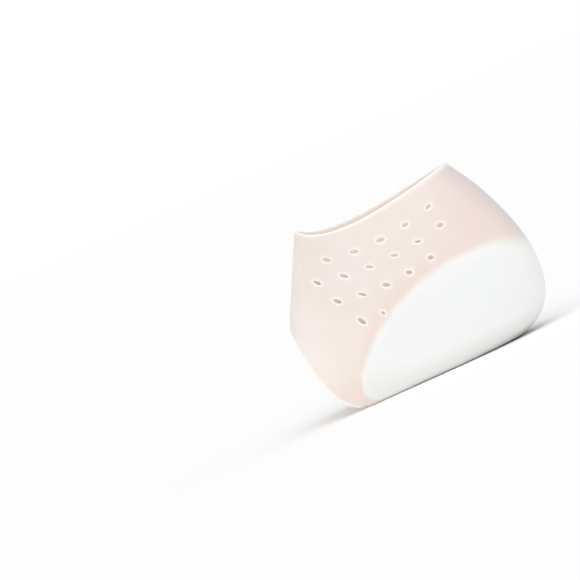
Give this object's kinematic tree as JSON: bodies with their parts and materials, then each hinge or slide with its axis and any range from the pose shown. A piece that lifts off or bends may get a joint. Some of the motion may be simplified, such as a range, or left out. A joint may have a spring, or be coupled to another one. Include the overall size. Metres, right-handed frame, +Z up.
{
  "type": "silicone heel lift",
  "caption": "Soft vented sleeve for the back of the foot, open at ankle and instep, with a thick cupped wedge under the heel that raises it.",
  "frame": {"origin": "on the floor below the middle of the bounding box", "axes": "+X towards the back of the heel, -X towards the toes, +Z up out of the ankle opening, Y across with the mirror plane at Y = 0"},
  "size_m": [0.1421, 0.0742, 0.1052],
  "materials": {
    "pale_silicone": "milky translucent silicone, satin",
    "white_silicone": "opaque white soft silicone, matte"
  },
  "bodies": {
    "root": {"sleeve": "pale_silicone", "heel_lift": "white_silicone"}
  },
  "joints": []
}
